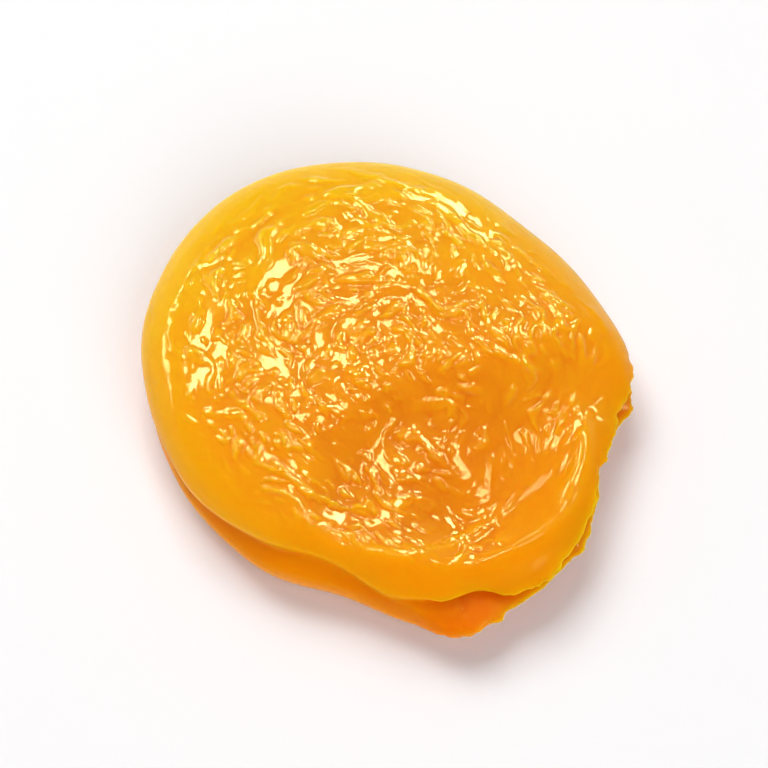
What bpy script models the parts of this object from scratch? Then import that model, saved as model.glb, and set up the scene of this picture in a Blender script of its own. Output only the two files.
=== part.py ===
"""A whole dried apricot with its stone pressed out, lying on its flatter face.

The fruit is one piece: a round pouch that was opened at the stem end, emptied and pressed flat.
X runs from the blossom end to the torn stem end, Z is up, and the origin lies under the middle of
the fruit, in the plane that it rests on. Lengths are in metres and angles in degrees.
"""

import itertools
import math

import bmesh
import bpy
import numpy as np

MM = 0.001

# The fruit as a whole
LENGTH = 42.6 * MM  # blossom end to stem end, before the tear
WIDTH = 37.3 * MM
TOP_SWELL = 6.2 * MM  # the two walls, measured from the seam plane before they are dished
UNDER_SWELL = 5.9 * MM
PLAN_ROUNDNESS = 2.15  # 2 is an ellipse, more is squarer
RIM_ROUNDNESS = 2.6  # the same for the cross-section, on the closed side
STEM_RIM_ROUNDNESS = 2.2  # the torn side is closer to a wedge

# Lobes and dents of the rim, seen from above: direction, half width in degrees, and how far it stands out
TIP_DIRECTION = -36.0
RIM_LOBES = (
    (TIP_DIRECTION, 7.0, 1.3 * MM),  # pointed corner of the tear
    (-62.0, 19.0, -1.9 * MM),
    (-19.0, 13.0, 0.6 * MM),
    (21.0, 19.0, -2.5 * MM),
    (58.0, 14.0, -0.5 * MM),
    (88.0, 20.0, -0.2 * MM),
    (120.0, 22.0, 0.7 * MM),
    (166.0, 32.0, 1.6 * MM),
    (-128.0, 26.0, -0.4 * MM),
)

# Zones of the skin, as shares of the way from the middle to the rim where they start and end
DISH_ZONE = (0.10, 0.92)  # the floor of the hollow face, and the crest round it
PUCKERED_ZONE = (0.68, 0.94)  # the puckers die out towards the rim
LIP_ZONE = (0.25, 0.88)  # the torn lips grow thinner
WAVE_ZONE = (0.55, 0.95)  # the waves of the rim grow towards its edge
TEETH_ZONE = (0.94, 1.0)  # and so do the teeth of the torn lips

# The hollows of both faces
TOP_DISH = 1.0 * MM
UNDER_DISH = 1.5 * MM
PRESS_CENTRE = (7.8 * MM, -3.6 * MM)  # where a thumb pushed the stone out
PRESS_HALF_SIZE = (9.4 * MM, 6.4 * MM)
PRESS_TURN = 54.0
PRESS_DEPTH = 2.2 * MM
PRESS_POWER = 4  # a higher power gives a flatter floor and steeper sides
PRESS_SLOPE = (0.1, 0.6)  # the hollow is only in the top wall: slope angles, in radians, where it starts
CREST_AWAY = 1.27  # in half sizes of the hollow
CREST_HALF_WIDTH = 0.16
CREST_HEIGHT = 0.45 * MM
CREST_SIDE = (-0.5, 0.1)  # it stands on the side of the tear, in half sizes across the hollow

# Taut skin, where the puckers die out: beyond the crest, and a patch in the hollow
BEYOND_AWAY = (1.15, 1.4)
BEYOND_SIDE = (0.2, 0.7)
BEYOND_TAUTNESS = 0.85
SMOOTH_CENTRE = (14.0 * MM, 0.5 * MM)
SMOOTH_HALF_WIDTH = 4.2 * MM
SMOOTH_TAUTNESS = 0.9

# The tear at the stem end
TEAR_MIDDLE = 3.0
TEAR_HALF_WIDTH = 42.0
TEAR_FADE = 14.0
TEAR_THINNING = 0.60  # how much thinner the lips are than the closed rim
UPPER_LIP_SETBACK = 0.5 * MM
TIP_SETBACK = 1.2 * MM  # how much further back the upper lip ends at the pointed corner
TIP_SETBACK_HALF_WIDTH = 11.0
SETBACK_SLOPE = (-0.1, 0.3)
SLIT_DEPTH = 2.8 * MM
SLIT_HALF_HEIGHT = 0.42 * MM
TEETH_DEPTH = 0.8 * MM
TEETH_SPACING = 1.9 * MM

# The side where the lower wall shows under the upper one
LEDGE_DIRECTION = -74.0
LEDGE_HALF_WIDTH = 34.0
LEDGE_WIDTH = 0.6 * MM  # how far the upper wall stands back
LEDGE_SLOPE = (0.0, 0.4)
LEDGE_RISE = 1.7 * MM  # how much higher the fold runs
LEDGE_THINNING = 0.18  # how much thinner the upper wall is over it

# The fold that runs round the rim where the two walls meet
FOLD_BELOW_SEAM = 0.6 * MM
FOLD_HALF_HEIGHT = 0.8 * MM
FOLD_DEPTH = 0.45 * MM
DEEP_FOLDS = (
    (-82.0, 34.0, 0.8 * MM),  # direction, half width and added depth
    (118.0, 26.0, 0.7 * MM),
)
SEAM_WANDER = 0.7 * MM
SEAM_WANDER_SPACING = 8.0 * MM

# Bend of the whole fruit, which leaves three low places to rest on
BEND_LOBES = 3
BEND_HEIGHT = 0.38 * MM
BEND_DIRECTION = 4.0
REST_FLATTENING = 0.28 * MM  # how far the low places are pressed flat

# Puckers of the dried skin
PUCKER_SPACING = 3.2 * MM
PUCKER_HEIGHT = 0.25 * MM
PUCKER_RING = 5.5 * MM  # they repeat as if round a ring this wide, so that further out they are longer
PUCKER_WANDER = 1.0 * MM
PUCKER_MIDDLE = (4.5 * MM, 11.0 * MM)  # inside they run every way, outside they run round the fruit
VALLEY_EDGE = 0.32  # the value of the noise at which a valley gives way to a ridge
VALLEY_POWER = 0.7
RIM_WAVE_SPACING = 9.0 * MM
RIM_WAVE_HEIGHT = 0.7 * MM
TOP_SEED = 11
UNDER_SEED = 23
SEAM_SEED = 5

# Mesh
CUTS = 27
PROFILE_STEPS = 2000
LATTICE = 256

FLESH_COLOUR = (0.91, 0.32, 0.015, 1.0)
FLESH_ROUGHNESS = 0.3


def smoothstep(low, high, value):
    """0 below low, 1 above high, and an S between them."""
    share = np.clip((value - low) / (high - low), 0.0, 1.0)
    return share * share * (3 - 2 * share)


def bell(value, middle, half_width):
    """1 at the middle, fading to nothing on both sides."""
    return np.exp(-(((value - middle) / half_width) ** 2))


def turn_from(angle, direction):
    """The angle from a direction, in degrees, wrapped to half a turn each way."""
    return (angle - direction + 180.0) % 360.0 - 180.0


def noise(points, seed):
    """Smooth noise in space: each whole-number point has a random slope, and a quintic blends them."""
    rng = np.random.default_rng(seed)
    shuffled = rng.permutation(LATTICE)
    slopes = rng.normal(size=(LATTICE, 3))
    slopes /= np.linalg.norm(slopes, axis=1, keepdims=True)
    cell = np.floor(points).astype(int)
    inside = points - cell
    fade = inside**3 * (inside * (inside * 6 - 15) + 10)
    total = np.zeros(len(points))
    for corner in itertools.product((0, 1), repeat=3):
        key = np.zeros(len(points), int)
        for axis in range(3):
            key = shuffled[(key + cell[:, axis] + corner[axis]) % LATTICE]
        weight = np.prod(np.where(corner, fade, 1 - fade), axis=1)
        total += weight * np.sum(slopes[key] * (inside - corner), axis=1)
    return total


def superellipse(angle, along, across, roundness):
    """The radius, at an angle in radians, of an oval that a roundness over 2 makes squarer."""
    c = np.abs(np.cos(angle)) / along
    s = np.abs(np.sin(angle)) / across
    return (c**roundness + s**roundness) ** (-1 / roundness)


def rim_radius(angle):
    """How far the rim is from the middle, seen from above: an oval with the rim's lobes added."""
    radius = superellipse(np.radians(angle), LENGTH / 2, WIDTH / 2, PLAN_ROUNDNESS)
    for direction, half_width, height in RIM_LOBES:
        radius = radius + height * bell(turn_from(angle, direction), 0.0, half_width)
    return radius


def tear(angle):
    """1 in the torn stem end and 0 on the closed rim."""
    off = np.abs(turn_from(angle, TEAR_MIDDLE))
    return 1 - smoothstep(TEAR_HALF_WIDTH - TEAR_FADE, TEAR_HALF_WIDTH + TEAR_FADE, off)


def ledge(angle):
    """1 where the lower wall shows most under the upper one, fading on both sides."""
    return bell(turn_from(angle, LEDGE_DIRECTION), 0.0, LEDGE_HALF_WIDTH)


def setback(angle, slope, torn):
    """How far the upper wall ends behind the lower one: its torn lip, its corner and over the ledge."""
    corner = bell(turn_from(angle, TIP_DIRECTION), 0.0, TIP_SETBACK_HALF_WIDTH)
    lip = UPPER_LIP_SETBACK * torn + TIP_SETBACK * corner
    return lip * smoothstep(*SETBACK_SLOPE, slope) + LEDGE_WIDTH * ledge(angle) * smoothstep(*LEDGE_SLOPE, slope)


def cross_section(slope, radius, swell, roundness):
    """The point of an upright oval section whose direction from its middle has that slope angle."""
    unit = superellipse(slope, 1.0, 1.0, roundness)
    return radius * unit * np.cos(slope), swell * unit * np.sin(slope)


def even_slope(rise):
    """Turns a share of the way from under (-1) to top (1) into a slope angle, in equal steps of skin."""
    slope = np.linspace(-math.pi / 2, math.pi / 2, PROFILE_STEPS)
    out, up = cross_section(slope, LENGTH / 2, TOP_SWELL, RIM_ROUNDNESS)
    out = out - SLIT_DEPTH * bell(up, 0.0, SLIT_HALF_HEIGHT)
    walked = np.concatenate([[0.0], np.cumsum(np.hypot(np.diff(out), np.diff(up)))])
    share = 2 * walked / walked[-1] - 1
    return np.interp(rise, share, slope)


def rim_grooves(angle, up, torn):
    """How deep the rim is cut in: a soft fold where it is closed, and a narrow slit between the lips."""
    ring = np.stack([np.cos(np.radians(angle)), np.sin(np.radians(angle)), np.zeros_like(angle)], axis=1)
    seam = SEAM_WANDER * noise(ring * LENGTH / 2 / SEAM_WANDER_SPACING, SEAM_SEED)
    depth = np.full_like(angle, FOLD_DEPTH)
    for direction, half_width, added in DEEP_FOLDS:
        depth = depth + added * bell(turn_from(angle, direction), 0.0, half_width)
    seam = seam + LEDGE_RISE * ledge(angle)
    fold = depth * (1 - torn) * bell(up, seam - FOLD_BELOW_SEAM, FOLD_HALF_HEIGHT)
    slit = SLIT_DEPTH * torn * bell(up, seam, SLIT_HALF_HEIGHT)
    return fold + slit


def away_from_press(x, y):
    """Distance from the middle of the thumb's hollow in its own half sizes, and the part across it."""
    turn = math.radians(PRESS_TURN)
    dx = x - PRESS_CENTRE[0]
    dy = y - PRESS_CENTRE[1]
    along = (dx * math.cos(turn) + dy * math.sin(turn)) / PRESS_HALF_SIZE[0]
    across = (dx * math.sin(turn) - dy * math.cos(turn)) / PRESS_HALF_SIZE[1]
    return np.hypot(along, across), across


def press(x, y):
    """The height left by the thumb: an oval hollow with a low crest round it on the side of the tear."""
    away, across = away_from_press(x, y)
    crest = CREST_HEIGHT * bell(away, CREST_AWAY, CREST_HALF_WIDTH) * smoothstep(*CREST_SIDE, across)
    return crest - PRESS_DEPTH * np.exp(-(away**PRESS_POWER))


def slack(x, y):
    """1 where the skin is free to pucker, and less where it is stretched."""
    away, across = away_from_press(x, y)
    beyond = BEYOND_TAUTNESS * smoothstep(*BEYOND_AWAY, away) * smoothstep(*BEYOND_SIDE, across)
    from_patch = np.hypot(x - SMOOTH_CENTRE[0], y - SMOOTH_CENTRE[1])
    return (1 - beyond) * (1 - SMOOTH_TAUTNESS * bell(from_patch, 0.0, SMOOTH_HALF_WIDTH))


def puckers(x, y, seed):
    """Rounded ridges with narrow valleys between, from 0 in a valley to 1 on a ridge."""
    flat = np.zeros_like(x)
    wander = np.stack([x, y, flat], axis=1) / (2 * PUCKER_SPACING)
    x = x + PUCKER_WANDER * noise(wander, seed + 1)
    y = y + PUCKER_WANDER * noise(wander, seed + 2)
    away = np.hypot(x, y)
    turn = np.arctan2(y, x)
    round_fruit = np.stack([away, PUCKER_RING * np.cos(turn), PUCKER_RING * np.sin(turn)], axis=1)
    every_way = np.stack([x, y, flat], axis=1)
    outer = smoothstep(*PUCKER_MIDDLE, away)
    inner_height = noise(every_way / PUCKER_SPACING, seed)
    outer_height = noise(round_fruit / PUCKER_SPACING, seed)
    height = inner_height + (outer_height - inner_height) * outer
    return np.clip(np.abs(height) / VALLEY_EDGE, 0.0, 1.0) ** VALLEY_POWER


def skin(angle, rise):
    """Points of the skin, in metres, for directions in degrees and shares of the way up from -1 to 1."""
    slope = even_slope(rise)
    top = slope > 0
    torn = tear(angle)
    radius = rim_radius(angle) - setback(angle, slope, torn)
    roundness = RIM_ROUNDNESS + (STEM_RIM_ROUNDNESS - RIM_ROUNDNESS) * torn
    swell = np.where(top, TOP_SWELL, UNDER_SWELL)
    out, up = cross_section(slope, radius, swell, roundness)
    share = out / radius
    thinning = TEAR_THINNING * torn + LEDGE_THINNING * ledge(angle) * top
    up = up * (1 - thinning * smoothstep(*LIP_ZONE, share))
    out = out - rim_grooves(angle, up, torn)

    east = np.cos(np.radians(angle))
    north = np.sin(np.radians(angle))
    where = np.stack([out * east, out * north, up], axis=1)
    teeth = TEETH_DEPTH * noise(where / TEETH_SPACING, TOP_SEED) * torn
    wave = RIM_WAVE_HEIGHT * noise(where / RIM_WAVE_SPACING, UNDER_SEED)
    out = out + wave * smoothstep(*WAVE_ZONE, share) + teeth * smoothstep(*TEETH_ZONE, share)
    x = out * east
    y = out * north

    dish = 1 - smoothstep(*DISH_ZONE, share)
    depth = PUCKER_HEIGHT * (1 - smoothstep(*PUCKERED_ZONE, share))
    relief_above = depth * slack(x, y) * (puckers(x, y, TOP_SEED) - 1)
    relief_below = depth * (puckers(x, y, UNDER_SEED) - 1)
    above = up - TOP_DISH * dish + press(x, y) * smoothstep(*PRESS_SLOPE, slope) + relief_above
    below = up + UNDER_DISH * dish - relief_below
    bend = BEND_HEIGHT * np.cos(np.radians(BEND_LOBES * (angle - BEND_DIRECTION))) * share**2
    return np.stack([x, y, np.where(top, above, below) + bend], axis=1)


def set_down(points):
    """Moves the fruit over the origin and presses its lowest places flat on the plane it rests on."""
    low = points.min(axis=0)
    middle = (low + points.max(axis=0)) / 2
    placed = points - [middle[0], middle[1], low[2] + REST_FLATTENING]
    placed[:, 2] = np.maximum(placed[:, 2], 0.0)
    return placed


def quad_ball():
    """A cube cut into small squares, to be blown up: it has no pole where faces crowd together."""
    ball = bmesh.new()
    bmesh.ops.create_cube(ball, size=2.0)
    bmesh.ops.subdivide_edges(ball, edges=ball.edges[:], cuts=CUTS, use_grid_fill=True)
    return ball


def ball_directions(ball):
    """Each vertex's direction round the fruit in degrees, and its share of the way up."""
    cube = np.array([vertex.co for vertex in ball.verts])
    ray = np.tan(cube * math.pi / 4)
    angle = np.degrees(np.arctan2(ray[:, 1], ray[:, 0]))
    rise = np.arctan2(ray[:, 2], np.hypot(ray[:, 0], ray[:, 1])) / (math.pi / 2)
    return angle, rise


def flesh_material():
    material = bpy.data.materials.new("dried_flesh")
    material.use_nodes = True
    shader = material.node_tree.nodes["Principled BSDF"]
    shader.inputs["Base Color"].default_value = FLESH_COLOUR
    shader.inputs["Roughness"].default_value = FLESH_ROUGHNESS
    shader.inputs["Metallic"].default_value = 0.0
    return material


def make_apricot(collection):
    ball = quad_ball()
    angle, rise = ball_directions(ball)
    points = set_down(skin(angle, rise))
    for vertex, point in zip(ball.verts, points):
        vertex.co = point
    bmesh.ops.recalc_face_normals(ball, faces=ball.faces[:])
    mesh = bpy.data.meshes.new("apricot")
    ball.to_mesh(mesh)
    ball.free()
    mesh.materials.append(flesh_material())
    mesh.shade_smooth()
    apricot = bpy.data.objects.new("apricot", mesh)
    collection.objects.link(apricot)
    return apricot


def main():
    for obj in list(bpy.data.objects):
        bpy.data.objects.remove(obj)
    collection = bpy.data.collections.new("dried_apricot")
    bpy.context.scene.collection.children.link(collection)
    make_apricot(collection)


main()
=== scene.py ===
# %% [markdown]
# # A whole dried apricot
# The fruit was opened at its stem end, its stone was pressed out and it was dried flat, so it is a
# thin round pouch: smooth and puffed round its rim, hollow and puckered on both faces, and ragged
# where it was torn. The solid model gives its size and its main form. This script makes the skin
# that the eye sees over it, and the wet, translucent finish that makes it look like fruit.
#
# The first cell loads the solid model as a fixed frame and keeps its box, because the skin may not
# grow out of it.

# %% The frame
import itertools
import math

import bpy
import numpy as np
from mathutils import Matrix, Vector


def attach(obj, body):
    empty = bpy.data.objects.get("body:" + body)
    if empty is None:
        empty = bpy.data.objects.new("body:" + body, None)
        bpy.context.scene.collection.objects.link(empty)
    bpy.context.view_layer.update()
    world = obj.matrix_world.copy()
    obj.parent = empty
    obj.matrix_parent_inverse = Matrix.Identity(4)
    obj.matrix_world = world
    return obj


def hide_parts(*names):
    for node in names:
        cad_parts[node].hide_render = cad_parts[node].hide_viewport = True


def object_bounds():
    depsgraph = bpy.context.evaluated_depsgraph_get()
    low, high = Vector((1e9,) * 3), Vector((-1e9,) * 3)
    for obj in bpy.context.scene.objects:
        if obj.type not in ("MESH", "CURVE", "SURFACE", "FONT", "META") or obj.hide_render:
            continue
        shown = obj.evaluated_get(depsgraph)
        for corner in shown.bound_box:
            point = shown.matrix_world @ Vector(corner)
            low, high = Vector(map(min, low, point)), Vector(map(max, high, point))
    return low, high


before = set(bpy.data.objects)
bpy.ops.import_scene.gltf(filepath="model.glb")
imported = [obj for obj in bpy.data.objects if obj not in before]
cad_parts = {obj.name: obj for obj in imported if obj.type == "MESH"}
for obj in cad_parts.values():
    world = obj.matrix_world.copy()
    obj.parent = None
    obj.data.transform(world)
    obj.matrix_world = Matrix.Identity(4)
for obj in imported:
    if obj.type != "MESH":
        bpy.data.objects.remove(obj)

MM = 0.001
cad_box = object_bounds()
box_low, box_high = np.array(cad_box[0]), np.array(cad_box[1])
print("solid model, mm:", (box_high - box_low) / MM)

# %% [markdown]
# ## Tools for shapes that are formulas
# Every form below is a formula on whole arrays of points, so a few small curves are used again and
# again: a step with soft ends, a bell, and an angle measured from a direction.

# %% Small curves


def smoothstep(low, high, value):
    """0 below low, 1 above high, and an S between them: three times the square less twice the cube."""
    share = np.clip((value - low) / (high - low), 0.0, 1.0)
    return share * share * (3 - 2 * share)


def bell(value, middle, half_width):
    """1 at the middle, fading on both sides: the exponential of minus the squared distance."""
    return np.exp(-(((value - middle) / half_width) ** 2))


def turn_from(angle, direction):
    """The angle from a direction, in degrees, wrapped to half a turn each way."""
    return (angle - direction + 180.0) % 360.0 - 180.0


print("soft step at a quarter, a half and three quarters:", smoothstep(0, 1, np.array([0.25, 0.5, 0.75])))

# %% [markdown]
# Skin that has dried is never even, so its lumps and folds come from noise. Gradient noise gives
# each whole-number point of a lattice its own random slope and blends the slopes between them.
# It is smooth, it has one size of grain, and a seed makes it the same in each run. It is worked out
# here for points with two or with three coordinates.

# %% Noise
LATTICE = 256


def noise(points, seed):
    """Gradient noise: at each corner of a point's cell, slope times offset, blended by a quintic, which
    is 6 times the fifth power, less 15 times the fourth, plus 10 times the cube."""
    rng = np.random.default_rng(seed)
    shuffled = rng.permutation(LATTICE)
    slopes = rng.normal(size=(LATTICE, 3))
    slopes /= np.linalg.norm(slopes, axis=1, keepdims=True)
    sides = points.shape[1]
    cell = np.floor(points).astype(int)
    inside = points - cell
    fade = inside**3 * (inside * (inside * 6 - 15) + 10)
    total = np.zeros(len(points))
    for corner in itertools.product((0, 1), repeat=sides):
        key = np.zeros(len(points), int)
        for axis in range(sides):
            key = shuffled[(key + cell[:, axis] + corner[axis]) % LATTICE]
        weight = np.prod(np.where(corner, fade, 1 - fade), axis=1)
        total += weight * np.sum(slopes[key, :sides] * (inside - corner), axis=1)
    return total


sample = noise(np.random.default_rng(0).uniform(0, 50, (20000, 3)), 1)
print("noise: mean", sample.mean().round(3), "spread", sample.std().round(3))

# %% [markdown]
# ## The outline and the section
# Seen from above the fruit is an oval, a little squarer than an ellipse, with lobes where the flesh
# bulges and a pointed corner where the tear ends. A modeller could draw this outline as a curve, but
# a formula in the direction from the middle is shorter, and the same numbers can shape the solid
# model and this skin.

# %% Outline
LENGTH = 42.6 * MM
WIDTH = 37.3 * MM
PLAN_ROUNDNESS = 2.15
TIP_DIRECTION = -36.0
RIM_LOBES = (
    # direction and half width in degrees, how far it stands out
    (TIP_DIRECTION, 7.0, 1.3 * MM),
    (-62.0, 19.0, -1.9 * MM),
    (-19.0, 13.0, 0.6 * MM),
    (21.0, 19.0, -2.5 * MM),
    (58.0, 14.0, -0.5 * MM),
    (88.0, 20.0, -0.2 * MM),
    (120.0, 22.0, 0.7 * MM),
    (166.0, 32.0, 1.6 * MM),
    (-128.0, 26.0, -0.4 * MM),
)


def superellipse(angle, along, across, roundness):
    """Radius at an angle: both half sizes to a power, added, and the root taken. 2 is an ellipse."""
    c = np.abs(np.cos(angle)) / along
    s = np.abs(np.sin(angle)) / across
    return (c**roundness + s**roundness) ** (-1 / roundness)


def rim_radius(angle):
    """How far the rim is from the middle in each direction: the oval with a bell for each lobe."""
    radius = superellipse(np.radians(angle), LENGTH / 2, WIDTH / 2, PLAN_ROUNDNESS)
    for direction, half_width, height in RIM_LOBES:
        radius = radius + height * bell(turn_from(angle, direction), 0.0, half_width)
    return radius


around = rim_radius(np.linspace(-180, 180, 361))
print("rim radius, mm: from", (around.min() / MM).round(2), "to", (around.max() / MM).round(2))

# %% [markdown]
# Cut through, the fruit is an upright oval too: square enough to look puffed on the closed side,
# and closer to a wedge at the torn end, where two thin lips lie on each other. The same formula as
# for the outline serves again, stretched by a width and a height instead of a length and a width.

# %% Section and tear
TOP_SWELL = 6.2 * MM
UNDER_SWELL = 5.9 * MM
RIM_ROUNDNESS = 2.6
STEM_RIM_ROUNDNESS = 2.2
TEAR_MIDDLE = 3.0
TEAR_HALF_WIDTH = 42.0
TEAR_FADE = 14.0


def cross_section(slope, radius, swell, roundness):
    """The point of the upright oval in a direction: the unit superellipse, stretched both ways."""
    unit = superellipse(slope, 1.0, 1.0, roundness)
    return radius * unit * np.cos(slope), swell * unit * np.sin(slope)


def tear(angle):
    """1 in the torn stem end and 0 on the closed rim: a soft step in the angle from its middle."""
    off = np.abs(turn_from(angle, TEAR_MIDDLE))
    return 1 - smoothstep(TEAR_HALF_WIDTH - TEAR_FADE, TEAR_HALF_WIDTH + TEAR_FADE, off)


print("share of the rim that is torn:", tear(np.linspace(-180, 180, 361)).mean().round(3))

# %% [markdown]
# The two walls don't end at the same place. On one side the lower wall shows under the upper one as
# a ledge, and the upper lip is torn off a little further back, most of all at the pointed corner.
# So the upper wall gets a smaller radius there, and a soft step leads from one wall to the other.

# %% Ledge and setback
UPPER_LIP_SETBACK = 0.5 * MM
TIP_SETBACK = 1.2 * MM
TIP_SETBACK_HALF_WIDTH = 11.0
SETBACK_SLOPE = (-0.1, 0.3)
LEDGE_DIRECTION = -74.0
LEDGE_HALF_WIDTH = 34.0
LEDGE_WIDTH = 0.6 * MM
LEDGE_SLOPE = (0.0, 0.4)


def ledge(angle):
    """1 where the lower wall shows most under the upper one, fading on both sides as a bell."""
    return bell(turn_from(angle, LEDGE_DIRECTION), 0.0, LEDGE_HALF_WIDTH)


def setback(angle, slope, torn):
    """How far the upper wall ends behind the lower one: its torn lip, its corner and over the ledge."""
    corner = bell(turn_from(angle, TIP_DIRECTION), 0.0, TIP_SETBACK_HALF_WIDTH)
    lip = (UPPER_LIP_SETBACK * torn + TIP_SETBACK * corner) * smoothstep(*SETBACK_SLOPE, slope)
    return lip + LEDGE_WIDTH * ledge(angle) * smoothstep(*LEDGE_SLOPE, slope)


corner_setback = setback(np.array([TIP_DIRECTION]), 1.0, 1.0)
print("the upper lip ends behind the lower at the corner, mm:", (corner_setback / MM).round(2))

# %% [markdown]
# A soft fold runs round the closed rim where the two walls meet, and it turns into a narrow slit
# between the lips. Both are grooves that wander up and down a little, so both are a bell in the
# height above or below a wavy seam. Carving them from the formula leaves no cut edges to clean up.

# %% Fold and slit
FOLD_BELOW_SEAM = 0.6 * MM
FOLD_HALF_HEIGHT = 0.8 * MM
FOLD_DEPTH = 0.45 * MM
DEEP_FOLDS = (
    # direction and half width in degrees, how much deeper
    (-82.0, 34.0, 0.8 * MM),
    (118.0, 26.0, 0.7 * MM),
)
SLIT_DEPTH = 2.8 * MM
SLIT_HALF_HEIGHT = 0.42 * MM
LEDGE_RISE = 1.7 * MM
SEAM_WANDER = 0.7 * MM
SEAM_WANDER_SPACING = 8.0 * MM
SEAM_SEED = 5


def rim_grooves(angle, up, torn):
    """How deep the rim is cut in: a bell across the fold, and a narrower one across the slit."""
    ring = np.stack([np.cos(np.radians(angle)), np.sin(np.radians(angle)), np.zeros_like(angle)], axis=1)
    seam = SEAM_WANDER * noise(ring * LENGTH / 2 / SEAM_WANDER_SPACING, SEAM_SEED)
    depth = np.full_like(angle, FOLD_DEPTH)
    for direction, half_width, added in DEEP_FOLDS:
        depth = depth + added * bell(turn_from(angle, direction), 0.0, half_width)
    seam = seam + LEDGE_RISE * ledge(angle)
    fold = depth * (1 - torn) * bell(up, seam - FOLD_BELOW_SEAM, FOLD_HALF_HEIGHT)
    slit = SLIT_DEPTH * torn * bell(up, seam, SLIT_HALF_HEIGHT)
    return fold + slit


print("grooves, mm deep: fold", FOLD_DEPTH / MM, "and slit", SLIT_DEPTH / MM)

# %% [markdown]
# ## The points of the skin
# A ball of latitude and longitude lines would crowd its points at two poles, in the middle of the
# two faces that show best. A cube cut into squares and blown up has no poles, so that is what the
# skin starts from. Each point is named by its direction round the fruit and by how far up the skin
# it is, and the rows are spaced evenly along the skin, with more of them on the face that shows.

# %% A ball made of squares
CUTS = 128
PROFILE_STEPS = 4000
FINER_TOP = 1.5
FINER_SHARE = 0.9


def section_table():
    """The mean section from under to top: its slope angles, its distance out and its steps of skin."""
    slope = np.linspace(-math.pi / 2, math.pi / 2, PROFILE_STEPS)
    out, up = cross_section(slope, LENGTH / 2, TOP_SWELL, RIM_ROUNDNESS)
    grooved = out - SLIT_DEPTH * bell(up, 0.0, SLIT_HALF_HEIGHT)
    step = np.hypot(np.diff(grooved), np.diff(up))
    return slope, out, np.concatenate([[0.0], step])


def quad_ball(cuts):
    """The six sides of a cube as grids of squares, joined where they meet: points and faces."""
    step = np.linspace(-1.0, 1.0, cuts + 1)
    across, down = np.meshgrid(step, step, indexing="ij")
    index = np.arange((cuts + 1) ** 2).reshape(cuts + 1, cuts + 1)
    corners = [index[:-1, :-1], index[1:, :-1], index[1:, 1:], index[:-1, 1:]]
    square = np.stack(corners, axis=-1).reshape(-1, 4)
    points, faces = [], []
    for axis, sign in itertools.product(range(3), (-1.0, 1.0)):
        side = np.stack([np.full_like(across, sign), across, down * sign], axis=-1).reshape(-1, 3)
        faces.append(square + len(points) * index.size)
        points.append(np.roll(side, axis, axis=1))
    points = np.concatenate(points)
    places = np.round(points * cuts).astype(int)
    _, first, joined = np.unique(places, axis=0, return_index=True, return_inverse=True)
    return points[first], joined.reshape(-1)[np.concatenate(faces)]


def even_slope(rise):
    """Turns a share of the way from under to top into a slope angle, by steps of skin, closer on top."""
    slope, out, step = section_table()
    on_top = (slope > 0) & (out < FINER_SHARE * LENGTH / 2)
    walked = np.cumsum(step * np.where(on_top, FINER_TOP, 1.0))
    return np.interp(rise, 2 * walked / walked[-1] - 1, slope)


def unrolled(slope):
    """The distance along the skin from the middle of a face to a slope angle on the mean section."""
    table, _, step = section_table()
    walked = np.cumsum(step)
    here = np.interp(slope, table, walked)
    return np.where(slope > 0, walked[-1] - here, here)


cube, quads = quad_ball(CUTS)
ray = np.tan(cube * math.pi / 4)
angle = np.degrees(np.arctan2(ray[:, 1], ray[:, 0]))
slope = even_slope(np.arctan2(ray[:, 2], np.hypot(ray[:, 0], ray[:, 1])) / (math.pi / 2))
print("ball:", len(cube), "points,", 2 * len(quads), "triangles")

# %% [markdown]
# ## The pouch
# Now each point gets its place on the smooth pouch. Small teeth and long waves push the rim in and
# out, more so along the tear, which was pulled apart by hand and not cut.

# %% The smooth pouch with its ragged edge
WAVE_ZONE = (0.55, 0.95)
TEETH_ZONE = (0.94, 1.0)
TEAR_THINNING = 0.60
LEDGE_THINNING = 0.18
LIP_ZONE = (0.25, 0.88)
TEETH = (
    # spacing, depth, seed
    (1.9 * MM, 0.8 * MM, 11),
    (0.8 * MM, 0.5 * MM, 12),
    (0.42 * MM, 0.25 * MM, 13),
)
RIM_WAVE_SPACING = 9.0 * MM
RIM_WAVE_HEIGHT = 0.7 * MM
RIM_WAVE_SEED = 23

top = slope > 0
torn = tear(angle)
east, north = np.cos(np.radians(angle)), np.sin(np.radians(angle))


def smooth_pouch():
    """Distance out, height and share of the way to the rim, for each point of the skin."""
    radius = rim_radius(angle) - setback(angle, slope, torn)
    roundness = RIM_ROUNDNESS + (STEM_RIM_ROUNDNESS - RIM_ROUNDNESS) * torn
    out, up = cross_section(slope, radius, np.where(top, TOP_SWELL, UNDER_SWELL), roundness)
    share = out / radius
    thinning = TEAR_THINNING * torn + LEDGE_THINNING * ledge(angle) * top
    up = up * (1 - thinning * smoothstep(*LIP_ZONE, share))
    return out - rim_grooves(angle, up, torn), up, share


def ragged(out, up, share):
    """Moves the rim out and in: fine and coarse teeth where it is torn, and long waves all round."""
    where = np.stack([out * east, out * north, up], axis=1)
    wave = RIM_WAVE_HEIGHT * noise(where / RIM_WAVE_SPACING, RIM_WAVE_SEED)
    teeth = sum(depth * noise(where / spacing, seed) for spacing, depth, seed in TEETH)
    return out + wave * smoothstep(*WAVE_ZONE, share) + teeth * torn * smoothstep(*TEETH_ZONE, share)


out, up, share = smooth_pouch()
out = ragged(out, up, share)
x, y = out * east, out * north
print("pouch, mm:", np.ptp(x) / MM, np.ptp(y) / MM, np.ptp(up) / MM)

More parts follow.
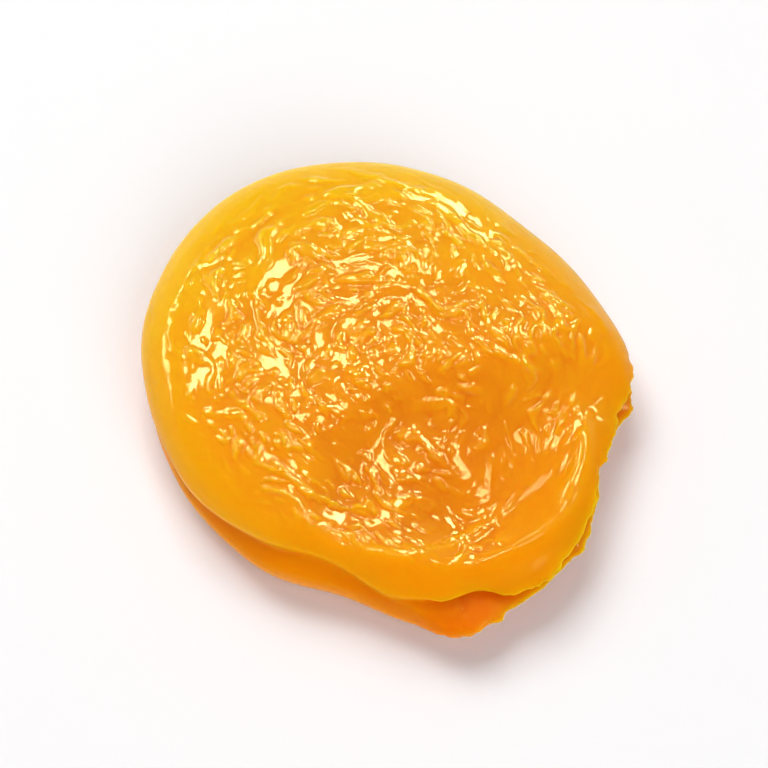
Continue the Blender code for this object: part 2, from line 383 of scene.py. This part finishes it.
# %% [markdown]
# ## The hollows
# Pressing the stone out left a shallow dish in both faces, and on the upper face an oval hollow
# where a thumb pushed, with a low crest between it and the tear. Beyond the crest, and in one
# smooth patch, the skin was pulled taut, so it has no folds. Each is a bell or a soft step in the
# distance from a middle, which is easier to adjust than a sculpted dent.

# %% Dish and thumb hollow
DISH_ZONE = (0.10, 0.92)
TOP_DISH = 1.0 * MM
UNDER_DISH = 1.5 * MM
PRESS_CENTRE = (7.8 * MM, -3.6 * MM)
PRESS_HALF_SIZE = (9.4 * MM, 6.4 * MM)
PRESS_TURN = 54.0
PRESS_DEPTH = 2.2 * MM
PRESS_POWER = 4
PRESS_SLOPE = (0.1, 0.6)
CREST_AWAY = 1.27
CREST_HALF_WIDTH = 0.16
CREST_HEIGHT = 0.45 * MM
CREST_SIDE = (-0.5, 0.1)
BEYOND_AWAY = (1.15, 1.4)
BEYOND_SIDE = (0.2, 0.7)
BEYOND_TAUTNESS = 0.85
SMOOTH_CENTRE = (14.0 * MM, 0.5 * MM)
SMOOTH_HALF_WIDTH = 4.2 * MM
SMOOTH_TAUTNESS = 0.9


def away_from_press(x, y):
    """Distance from the middle of the thumb hollow in its own half sizes, and the part across it."""
    turn = math.radians(PRESS_TURN)
    dx, dy = x - PRESS_CENTRE[0], y - PRESS_CENTRE[1]
    along = (dx * math.cos(turn) + dy * math.sin(turn)) / PRESS_HALF_SIZE[0]
    across = (dx * math.sin(turn) - dy * math.cos(turn)) / PRESS_HALF_SIZE[1]
    return np.hypot(along, across), across


away, across = away_from_press(x, y)
upper = smoothstep(*PRESS_SLOPE, slope)
thumb = np.exp(-(away**PRESS_POWER)) * upper
crest = bell(away, CREST_AWAY, CREST_HALF_WIDTH) * smoothstep(*CREST_SIDE, across) * upper
dish = 1 - smoothstep(*DISH_ZONE, share)
beyond = BEYOND_TAUTNESS * smoothstep(*BEYOND_AWAY, away) * smoothstep(*BEYOND_SIDE, across)
from_patch = np.hypot(x - SMOOTH_CENTRE[0], y - SMOOTH_CENTRE[1])
smooth_patch = bell(from_patch, 0.0, SMOOTH_HALF_WIDTH)
slack = (1 - beyond) * (1 - SMOOTH_TAUTNESS * smooth_patch)
slack = np.where(top, slack, 1.0)
print("points in the thumb hollow:", int((thumb > 0.5).sum()))

# %% [markdown]
# ## The puckers
# Skin that shrinks less than the flesh under it has to fold. The folds run round the fruit near its
# rim and round the thumb hollow, and every way in the middle. Sculpting thousands of them by hand
# would take days, so they are grown: noise is averaged along lines of flow, which draws its grains
# out into streaks, and the size of the result, whatever its sign, gives swollen folds with narrow
# valleys where the noise passes through nought.

# %% Lines of flow
FLOW_STEP = 0.05 * MM
PRESS_PULL = 0.18
WANDER_PULL = 0.22
WANDER_SPACING = 4.2 * MM
LEAST_STEEPNESS = 1e-12


def level(x, y, seed):
    """A height whose contour lines the folds follow: squared share of the way out, hollow, and noise."""
    reach = np.hypot(x, y) / rim_radius(np.degrees(np.arctan2(y, x)))
    away, _ = away_from_press(x, y)
    wander = noise(np.stack([x, y], axis=1) / WANDER_SPACING, seed)
    return reach**2 - PRESS_PULL * np.exp(-(away**PRESS_POWER)) + WANDER_PULL * wander


def flow_lines(x, y, seed):
    """Unit vectors along the contour lines: the slope of the level, turned by a right angle."""
    here = level(x, y, seed)
    rise_x = level(x + FLOW_STEP, y, seed) - here
    rise_y = level(x, y + FLOW_STEP, seed) - here
    steepness = np.hypot(rise_x, rise_y) + LEAST_STEEPNESS
    return np.stack([-rise_y / steepness, rise_x / steepness], axis=1)


TOP_SEED = 11
UNDER_SEED = 23
flow = np.where(top[:, None], flow_lines(x, y, TOP_SEED), flow_lines(x, y, UNDER_SEED))
print("mean flow round the fruit:", np.abs(flow[:, 0] * -north + flow[:, 1] * east).mean().round(2))

# %% [markdown]
# The broadest folds are broken mounds a few millimetres across, high enough for the solid model to
# have them too. Noise whose coordinates turn with the fruit makes mounds that run round it, plain
# noise fills the middle, and both are pushed about a little so that no row looks ruled.

# %% Broad puckers
PUCKER_SPACING = 3.2 * MM
PUCKER_HEIGHT = 0.10 * MM
PUCKER_RING = 5.5 * MM
PUCKER_WANDER = 1.0 * MM
PUCKER_MIDDLE = (4.5 * MM, 11.0 * MM)
VALLEY_EDGE = 0.32
VALLEY_POWER = 0.7
PUCKERED_ZONE = (0.68, 0.94)


def puckers(x, y, seed):
    """The broad folds of the solid model: the size of noise that runs round the fruit, to a power."""
    flat = np.zeros_like(x)
    wander = np.stack([x, y, flat], axis=1) / (2 * PUCKER_SPACING)
    x = x + PUCKER_WANDER * noise(wander, seed + 1)
    y = y + PUCKER_WANDER * noise(wander, seed + 2)
    away = np.hypot(x, y)
    turn = np.arctan2(y, x)
    round_fruit = np.stack([away, PUCKER_RING * np.cos(turn), PUCKER_RING * np.sin(turn)], axis=1)
    every_way = np.stack([x, y, flat], axis=1)
    outer = smoothstep(*PUCKER_MIDDLE, away)
    inner_height = noise(every_way / PUCKER_SPACING, seed)
    outer_height = noise(round_fruit / PUCKER_SPACING, seed)
    height = inner_height + (outer_height - inner_height) * outer
    return np.clip(np.abs(height) / VALLEY_EDGE, 0.0, 1.0) ** VALLEY_POWER


puckered = (1 - smoothstep(*PUCKERED_ZONE, share)) * slack
broad = np.where(top, puckers(x, y, TOP_SEED), puckers(x, y, UNDER_SEED))
relief = PUCKER_HEIGHT * (broad - 1) * puckered
print("broad puckers, mm deep:", -relief.min() / MM)

# %% [markdown]
# Between them the skin is finely creased: short thin ridges, close together, in patches that are
# rough beside patches that are nearly smooth. They are far too fine to model one by one, and a bump
# map alone would leave the outline and the wet glints too calm, so two layers of streaks, a coarse
# one and a fine one, really lift the skin.

# %% Fine creases
STREAK_STEPS = 9
CREASE_LAYERS = (
    # spacing, reach along the flow, height of the ridges, seed
    (1.30 * MM, 1.0 * MM, 0.19 * MM, 31),
    (0.75 * MM, 0.6 * MM, 0.12 * MM, 47),
)
RIDGE_RANGE = (0.45, 1.45)
RIDGE_FOOT = 0.15
CREASE_ZONE = (0.78, 0.95)
THUMB_CALM = 0.4
PATCH_SPACING = 5.0 * MM
PATCH_SEED = 61
PATCH_RANGE = (-0.30, 0.15)
LEAST_PATCH = 0.25
CLUSTER_CENTRE = (5.0 * MM, -11.2 * MM)
CLUSTER_HALF_WIDTH = 4.5 * MM
CLUSTER_ADDED = 1.0
UNDER_FACE = 100.0


def streaks(spacing, reach, seed):
    """Noise averaged at even steps along the flow through each point, scaled to a spread of one."""
    total = 0.0
    for step in np.linspace(-reach, reach, STREAK_STEPS):
        at = (place + flow * step) / spacing
        total = total + noise(np.stack([at[:, 0], at[:, 1], face], axis=1), seed)
    return total / total.std()


walked = unrolled(slope)
place = np.stack([walked * east, walked * north], axis=1)
face = np.where(top, 0.0, UNDER_FACE)
patch_place = place / PATCH_SPACING
patches = noise(np.stack([patch_place[:, 0], patch_place[:, 1], face], axis=1), PATCH_SEED)
patches = LEAST_PATCH + (1 - LEAST_PATCH) * smoothstep(*PATCH_RANGE, patches)
from_cluster = np.hypot(x - CLUSTER_CENTRE[0], y - CLUSTER_CENTRE[1])
cluster = bell(from_cluster, 0.0, CLUSTER_HALF_WIDTH) * top
patches = patches + CLUSTER_ADDED * cluster
creased = (1 - smoothstep(*CREASE_ZONE, share)) * patches * (1 - THUMB_CALM * thumb) * slack
creases = np.zeros_like(x)
for spacing, reach, ridge_height, seed in CREASE_LAYERS:
    grain = streaks(spacing, reach, seed)
    creases = creases + ridge_height * (smoothstep(*RIDGE_RANGE, grain) - RIDGE_FOOT)
creases = creases * creased
print("fine creases, mm: from", creases.min() / MM, "to", creases.max() / MM)

# %% [markdown]
# A few folds are long and plain enough to be known one by one, such as the two crests that stand
# beside the tear. Each is drawn as a curve from three points, as with a pen tool: it leaves its
# start toward the pull point and reaches its end coming from there. The ridge is a bell across it.

# %% Folds drawn one by one
FOLDS = (
    # start, pull and end of the curve, then height and half width of the fold, all in mm
    ((10.6, 8.5), (16.2, 7.6), (16.6, -0.6), 0.36, 0.65),
    ((13.1, -1.8), (13.4, -12.6), (6.4, -13.3), 0.28, 0.55),
    ((3.8, 5.4), (6.5, 6.8), (9.2, 8.0), 0.18, 0.30),
    ((4.5, 11.8), (7.2, 10.7), (9.0, 9.7), 0.14, 0.35),
    ((5.7, 12.8), (8.2, 11.8), (10.2, 10.1), 0.12, 0.35),
    ((7.6, 15.2), (9.4, 15.0), (10.6, 14.2), 0.12, 0.40),
    ((-19.2, -3.7), (-18.7, -2.2), (-17.6, -0.6), 0.10, 0.30),
)
FOLD_STEPS = 61
FOLD_ENDS = 0.2


def drawn_fold(start, pull, end, half_width):
    """A bell in the distance from a curve, lower toward its ends. The curve is the start, the pull and
    the end, in the shares (1 - t) squared, twice t times (1 - t), and t squared."""
    t = np.linspace(0.0, 1.0, FOLD_STEPS)
    line = np.outer((1 - t) ** 2, start) + np.outer(2 * t * (1 - t), pull) + np.outer(t**2, end)
    gap = np.hypot(x[:, None] / MM - line[:, 0], y[:, None] / MM - line[:, 1])
    ends = smoothstep(0.0, FOLD_ENDS, t) * (1 - smoothstep(1 - FOLD_ENDS, 1.0, t))
    return bell(gap.min(axis=1), 0.0, half_width) * ends[gap.argmin(axis=1)] * top


drawn = np.zeros_like(x)
for start, pull, end, height, half_width in FOLDS:
    fold = drawn_fold(start, pull, end, half_width)
    creases = creases + height * MM * fold
    drawn = np.maximum(drawn, fold)
print("points on a drawn fold:", int((drawn > 0.5).sum()))

# %% [markdown]
# ## Putting it together
# A pressed fruit is never quite level. It bends in three waves round its rim, and its own weight
# flattens the three low places it lies on. The height of each point is the smooth pouch plus every
# hollow and fold, the creases then push it out square to the skin, and what would be below the
# table is pressed up to it. The box is centred over the origin, where the solid model has it.

# %% Setting the fruit down
BEND_LOBES = 3
BEND_HEIGHT = 0.38 * MM
BEND_DIRECTION = 4.0
REST_FLATTENING = 0.28 * MM

above = up - TOP_DISH * dish - PRESS_DEPTH * thumb + CREST_HEIGHT * crest + relief
below = up + UNDER_DISH * dish - relief
bend = BEND_HEIGHT * np.cos(np.radians(BEND_LOBES * (angle - BEND_DIRECTION))) * share**2
points = np.stack([x, y, np.where(top, above, below) + bend], axis=1)
low, high = points.min(axis=0), points.max(axis=0)
points -= [(low[0] + high[0]) / 2, (low[1] + high[1]) / 2, low[2] + REST_FLATTENING]


def outward(points, faces):
    """Unit normals at the points: the faces' crossed diagonals, added up at their corners."""
    corner = points[faces]
    facing = np.cross(corner[:, 2] - corner[:, 0], corner[:, 3] - corner[:, 1])
    total = np.zeros_like(points)
    for side in range(4):
        for axis in range(3):
            total[:, axis] += np.bincount(faces[:, side], weights=facing[:, axis], minlength=len(points))
    return total / np.linalg.norm(total, axis=1, keepdims=True)


points = points + outward(points, quads) * creases[:, None]
points[:, 2] = np.maximum(points[:, 2], 0.0)
print("skin, mm:", np.ptp(points, axis=0) / MM)

# %% [markdown]
# ## The mesh
# Blender takes the arrays in one go. Beside its place, each point keeps a few numbers, its
# attributes, that say where on the fruit it is: how near the rim, in a valley, on a ridge, in the
# hollow, on the lower wall, on the torn lip. The finish reads them, so its colours follow the real
# forms, with painted shade in the valleys, the hollow and on the lower wall, and painted light on the
# ridges. The grain is the finer layer's, and guides threads that are too small for the mesh.

# %% The piece
LOWER_SLOPE = (-0.1, 0.35)
LIP_SHARE = (0.86, 0.98)
EDGE_SHARE = (0.95, 0.995)
FULL_RIDGE = 0.1 * MM
PATCH_DULLNESS = 0.8


def surface(name, points, faces, attributes):
    """A smooth mesh object from arrays of points and faces, and numbers per point under each name."""
    mesh = bpy.data.meshes.new(name)
    mesh.from_pydata(points, [], faces)
    for label, values in attributes.items():
        mesh.attributes.new(label, "FLOAT", "POINT").data.foreach_set("value", values.astype(np.float32))
    mesh.shade_smooth()
    mesh.validate()
    piece = bpy.data.objects.new(name, mesh)
    bpy.context.scene.collection.objects.link(piece)
    return piece


dull = np.maximum(beyond, PATCH_DULLNESS * smooth_patch) * top
attributes = {
    "share": share,
    "valley": np.clip(-relief / PUCKER_HEIGHT, 0.0, 1.0),
    "ridge": np.clip(creases / FULL_RIDGE, -1.0, 1.0),
    "thumb": thumb,
    "lower": 1 - smoothstep(*LOWER_SLOPE, slope),
    "front": beyond * top,
    "lip": torn * smoothstep(*LIP_SHARE, share),
    "edge": torn * smoothstep(*EDGE_SHARE, share),
    "gloss": np.maximum(1 - dull, drawn),
    "creased": creased,
    "grain": grain,
}
apricot = surface("apricot_flesh", points, quads, attributes)
print("piece:", len(apricot.data.vertices), "points,", len(attributes), "attributes")

# %% [markdown]
# ## The finish
# Shader maths reads best as plain sums. This class wraps a socket of the node tree, so that adding
# or multiplying two wires adds the Math node that does it. Any other node comes from one method.

# %% Nodes as sums


class Wire:
    """A value in a material's node tree. Sums and products of wires, or with numbers, add Math nodes."""

    def __init__(self, tree, socket=None):
        self.tree = tree
        self.socket = socket

    def node(self, kind, settings, values, output=0):
        """Adds a node: first its settings, then a number, a colour or a wire for each input socket."""
        node = self.tree.nodes.new(kind)
        for name, setting in settings.items():
            setattr(node, name, setting)
        for name, value in values.items():
            if isinstance(value, Wire):
                self.tree.links.new(value.socket, node.inputs[name])
            else:
                node.inputs[name].default_value = value
        return Wire(self.tree, node.outputs[output])

    def maths(self, operation, first, second):
        """One Math node on two wires or numbers: the operation is what its list calls it."""
        return self.node("ShaderNodeMath", {"operation": operation}, {0: first, 1: second})

    def __add__(self, other):
        return self.maths("ADD", self, other)

    def __sub__(self, other):
        return self.maths("SUBTRACT", self, other)

    def __rsub__(self, other):
        return self.maths("SUBTRACT", other, self)

    def __mul__(self, other):
        return self.maths("MULTIPLY", self, other)

    __radd__ = __add__
    __rmul__ = __mul__

    def attribute(self, name):
        """The number that each point of the mesh keeps under this name."""
        return self.node("ShaderNodeAttribute", {"attribute_name": name}, {}, output="Fac")

    def mix(self, share, first, second):
        """A colour that goes from the first to the second as the share goes from 0 to 1."""
        colours = {0: share, 6: first, 7: second}
        return self.node("ShaderNodeMix", {"data_type": "RGBA"}, colours, output=2)

    def ramp(self, value, zone, ends=(0.0, 1.0)):
        """A soft step from one end to the other as the value crosses the zone, as smoothstep does."""
        sockets = {
            "Value": value,
            "From Min": zone[0],
            "From Max": zone[1],
            "To Min": ends[0],
            "To Max": ends[1],
        }
        return self.node("ShaderNodeMapRange", {"interpolation_type": "SMOOTHSTEP"}, sockets)


print("wires can be added, taken away, multiplied, mixed and ramped")

# %% [markdown]
# Dried apricot is soft, cloudy and full of sugar. Light goes in, scatters and comes out yellow where
# the flesh is thin and deep orange where it is thick, so the shader is nearly all subsurface
# scattering, with four colours mixed by the attributes. Part of that mixing is painted light and
# shade: the far side is painted paler, partly as a sheen, the ridge tops lighter, and the valleys,
# the thumb hollow, the lower wall and the torn edge darker. The skin is also slightly wet. A coat is
# the Principled shader's thin clear layer: it gives each tiny ridge its own hard little glint, and
# it weakens toward the rim, where the real skin is drier and smooth. Pores and threads too small
# for the mesh are bump. The colours come first. Soft steps lead from one to the next, and a little
# noise moves their borders, because a clean border would look painted.

# %% Flesh colour
PALE_TONE_AND_SHEEN = (0.96, 0.50, 0.002, 1.0)
YELLOW = (0.95, 0.405, 0.001, 1.0)
ORANGE = (0.90, 0.33, 0.001, 1.0)
DEEP = (0.78, 0.19, 0.001, 1.0)

MOTTLE_SCALE = 260.0
MOTTLE_REACH = 12 * MM
MOTTLE_SHARE = 0.3
STEM_BLUSH = 0.85
STEM_ZONE = (-12 * MM, 17 * MM)
MIDDLE_BLUSH = 0.8
MIDDLE_ZONE = (0.95, 0.30)
FRONT_BLUSH = 0.8
# The far side is paler: partly the fruit's own lighter tone, partly a painted sheen of the light from
# behind.
FAR_DIRECTION = (-0.64, 0.77)
FAR_ZONE = (-4 * MM, 14 * MM)
# Painted shade: the valleys of the puckers, the thumb hollow and the lower wall are taken deeper, as shade
# falls there.
PAINTED_SHADING_AND_DEPTHS = (
    # attribute, how far it takes the colour toward the deepest
    ("thumb", 0.35),
    ("valley", 0.30),
    ("lower", 0.65),
    # painted light: ridge tops lighter; the feet between ridges darker as painted shade
    ("ridge", -0.18),
    # the torn lip: partly its drier own deeper tint, partly painted shade; its very edge: painted shade
    # that damps the glow of the thin flesh
    ("lip", 0.45),
    ("edge", 0.45),
)


def flesh_colour(sheet, place):
    """Pale on the far side, partly as a painted sheen, then yellow, orange toward the stem and the middle,
    and deeper by the table: painted shade in the hollows and below, painted light on the ridges.
    """
    along = sheet.node("ShaderNodeSeparateXYZ", {}, {"Vector": place}, output="X")
    side = sheet.node("ShaderNodeSeparateXYZ", {}, {"Vector": place}, output="Y")
    clouds = sheet.node("ShaderNodeTexNoise", {}, {"Vector": place, "Scale": MOTTLE_SCALE, "Detail": 3.0})
    mottle = clouds - 0.5
    stem = sheet.ramp(along + MOTTLE_REACH * mottle, STEM_ZONE)
    middle = sheet.ramp(sheet.attribute("share") + MOTTLE_SHARE * mottle, MIDDLE_ZONE)
    toward_far = FAR_DIRECTION[1] * side + FAR_DIRECTION[0] * along
    far = sheet.ramp(toward_far + MOTTLE_REACH * mottle, FAR_ZONE)
    # paler toward the far side: partly own tone, partly painted backlit sheen
    colour = sheet.mix(far, YELLOW, PALE_TONE_AND_SHEEN)
    blush = sheet.maths("MAXIMUM", stem * STEM_BLUSH, middle * MIDDLE_BLUSH)
    colour = sheet.mix(blush, colour, ORANGE)
    colour = sheet.mix(FRONT_BLUSH * sheet.attribute("front"), colour, ORANGE)
    # painted shade and painted light by the table above, and the torn lip's deeper tint
    depth = sum(weight * sheet.attribute(name) for name, weight in PAINTED_SHADING_AND_DEPTHS)
    return sheet.mix(depth, colour, DEEP)


print("colours:", len((PALE_TONE_AND_SHEEN, YELLOW, ORANGE, DEEP)), "and depths:", len(PAINTED_SHADING_AND_DEPTHS))

# %% [markdown]
# The colour, the wetness and the bump vary over the fruit, so each reaches its socket as a wire.
# Everything else is the same all over and is set on the shader's own socket. Red travels further
# through the flesh than blue, which is why thick parts look redder than thin ones.

# %% Flesh finish
DRY_ZONE = (0.80, 0.98)
DRY_RIM = 0.40
LIP_DRYNESS = 0.7
THREAD_ZONE = (0.3, 0.9)
PORE_SCALE = 2000.0
PORE_HEIGHT = 0.6
PORE_LEAST = 0.15
BUMP_DEPTH = 0.08 * MM


def flesh_finish():
    """Mixed colours, full subsurface scattering, a thin clear coat, and bump of threads and pores."""
    material = bpy.data.materials.new("dried_flesh_finish")
    material.use_nodes = True
    tree = material.node_tree
    shader = tree.nodes["Principled BSDF"]
    sheet = Wire(tree)
    place = sheet.node("ShaderNodeTexCoord", {}, {}, output="Object")
    tree.links.new(flesh_colour(sheet, place).socket, shader.inputs["Base Color"])
    shader.inputs["Roughness"].default_value = 0.45
    shader.inputs["IOR"].default_value = 1.35
    shader.inputs["Specular IOR Level"].default_value = 0.05
    shader.inputs["Subsurface Weight"].default_value = 1.0
    shader.inputs["Subsurface Radius"].default_value = (1.0, 0.85, 0.4)
    shader.inputs["Subsurface Scale"].default_value = 3 * MM
    wet = sheet.ramp(sheet.attribute("share"), DRY_ZONE, (1.0, DRY_RIM))
    wet = wet * sheet.attribute("gloss") * (1.0 - LIP_DRYNESS * sheet.attribute("lip"))
    tree.links.new(wet.socket, shader.inputs["Coat Weight"])
    shader.inputs["Coat Roughness"].default_value = 0.07
    shader.inputs["Coat IOR"].default_value = 1.38
    thread = sheet.ramp(sheet.attribute("grain"), THREAD_ZONE)
    pores = sheet.node("ShaderNodeTexNoise", {}, {"Vector": place, "Scale": PORE_SCALE, "Detail": 2.0})
    height = (thread + PORE_HEIGHT * pores) * sheet.attribute("creased") + PORE_LEAST * pores
    bump = sheet.node("ShaderNodeBump", {}, {"Height": height, "Strength": 0.5, "Distance": BUMP_DEPTH})
    tree.links.new(bump.socket, shader.inputs["Normal"])
    return material


apricot.data.materials.append(flesh_finish())
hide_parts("apricot")
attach(apricot, "root")
print("finish:", len(apricot.active_material.node_tree.nodes), "nodes")

# %% [markdown]
# ## The stage
# The fruit lies on a plain pale floor, wide enough that its edge never shows. Nothing on it may
# draw the eye, so it has one colour and hardly any shine.

# %% Floor
FLOOR_HALF = 1.5


def floor_finish():
    """One pale colour, matt."""
    material = bpy.data.materials.new("floor_finish")
    material.use_nodes = True
    shader = material.node_tree.nodes["Principled BSDF"]
    shader.inputs["Base Color"].default_value = (0.93, 0.92, 0.94, 1.0)
    shader.inputs["Roughness"].default_value = 0.8
    shader.inputs["Specular IOR Level"].default_value = 0.2
    return material


corners = np.array([[-1, -1, 0], [1, -1, 0], [1, 1, 0], [-1, 1, 0]]) * FLOOR_HALF
floor = surface("floor", corners, np.array([[0, 1, 2, 3]]), {})
floor.data.materials.append(floor_finish())
print("floor, m across:", 2 * FLOOR_HALF)

# %% [markdown]
# ## The light
# Two kinds of lamp share the work, as in a food studio. Large white fills light the flesh softly
# and are kept out of reflections. Small warm ones are seen only in reflections: each makes the
# glints on the ridges that tilt its way, so where the lamp stands decides where the fruit sparkles.
# Lamps behind the fruit give the long low glints, and one low strip runs a streak along the rim.

# %% Lamps
GLINT_COLOUR = (0.96, 0.94, 0.38)
GLINT_DISTANCE = 0.5
GLINT_LAMPS = (
    # name, azimuth, elevation, width and height in metres, radiance
    ("low_softbox", 205, 31, (0.13, 0.09), 40),
    ("level_softbox", 224, 60, (0.07, 0.05), 36),
    ("left_softbox", 262, 51, (0.12, 0.10), 36),
    ("right_softbox", 174, 54, (0.13, 0.12), 48),
    ("overhead_softbox", 220, 84, (0.10, 0.08), 30),
    ("near_softbox", 130, 71, (0.08, 0.06), 26),
    ("rim_softbox", 278, 24, (0.30, 0.02), 34),
)
FILL_COLOUR = (1.0, 1.0, 1.0)
FILL_DISTANCE = 0.6
FILL_SIZE = (0.40, 0.40)
FILL_LAMPS = (
    # name, azimuth, elevation, radiance
    ("top_fill", 248, 62, 5.3),
    ("front_fill", 62, 42, 3.2),
)


def toward(azimuth, elevation):
    """The unit vector in a direction: azimuth 0 is minus Y, 90 is plus X, and elevation 90 is up."""
    a, e = math.radians(azimuth), math.radians(elevation)
    return Vector((math.sin(a) * math.cos(e), -math.cos(a) * math.cos(e), math.sin(e)))


def softbox(name, azimuth, elevation, distance, size, radiance, colour):
    """An oblong lamp in a direction from the fruit, aimed at it: power is radiance times pi times area."""
    light = bpy.data.lights.new(name, "AREA")
    light.shape = "RECTANGLE"
    light.size, light.size_y = size
    light.energy = radiance * math.pi * size[0] * size[1]
    light.color = colour
    lamp = bpy.data.objects.new(name, light)
    where = toward(azimuth, elevation) * distance
    lamp.location = where
    lamp.rotation_euler = where.to_track_quat("Z", "Y").to_euler()
    bpy.context.scene.collection.objects.link(lamp)
    return lamp


for name, azimuth, elevation, size, radiance in GLINT_LAMPS:
    lamp = softbox(name, azimuth, elevation, GLINT_DISTANCE, size, radiance, GLINT_COLOUR)
    lamp.visible_diffuse = False
for name, azimuth, elevation, radiance in FILL_LAMPS:
    fill = softbox(name, azimuth, elevation, FILL_DISTANCE, FILL_SIZE, radiance, FILL_COLOUR)
    fill.visible_glossy = False
print("lamps:", len(bpy.data.lights))

# %% [markdown]
# The world is the room round the fruit. It is bright round the horizon and dim overhead, because a
# bright ceiling would lie over the level skin as a grey veil and wash out its colour.

# %% Room
HORIZON = 0.7
CEILING = 0.16
DIMMING_ZONE = (0.10, 0.45)


def studio_world():
    """White round the horizon, like a backdrop, and dim overhead, so that level skin keeps its colour."""
    world = bpy.data.worlds.new("studio")
    world.use_nodes = True
    sheet = Wire(world.node_tree)
    direction = sheet.node("ShaderNodeTexCoord", {}, {}, output="Generated")
    height = sheet.node("ShaderNodeSeparateXYZ", {}, {"Vector": direction}, output="Z")
    strength = sheet.ramp(height, DIMMING_ZONE, (HORIZON, CEILING))
    background = world.node_tree.nodes["Background"]
    background.inputs["Color"].default_value = (1.0, 1.0, 1.0, 1.0)
    world.node_tree.links.new(strength.socket, background.inputs["Strength"])
    return world


bpy.context.scene.world = studio_world()
print("world: strength", HORIZON, "at the horizon and", CEILING, "overhead")

# %% [markdown]
# ## The camera
# The fruit is seen from its torn side, from well above. A long lens from a fair distance keeps the
# outline true, as in a close view of something small. The camera is aimed by turning its own Z axis
# along the line from the fruit to itself, because a camera looks down its negative Z.

# %% Camera
CAMERA_AZIMUTH = 40.0
CAMERA_ELEVATION = 62.0
CAMERA_DISTANCE = 0.26
LENS = 150.0
camera_data = bpy.data.cameras.new("camera")
camera_data.lens = LENS
camera = bpy.data.objects.new("camera", camera_data)
back = toward(CAMERA_AZIMUTH, CAMERA_ELEVATION)
target = Vector((box_low + box_high) / 2)
camera.location = target + back * CAMERA_DISTANCE
camera.rotation_euler = back.to_track_quat("Z", "Y").to_euler()
bpy.context.scene.collection.objects.link(camera)
bpy.context.scene.camera = camera
bpy.context.scene.view_settings.view_transform = "Standard"
print("camera, mm:", [round(part / MM, 1) for part in camera.location])
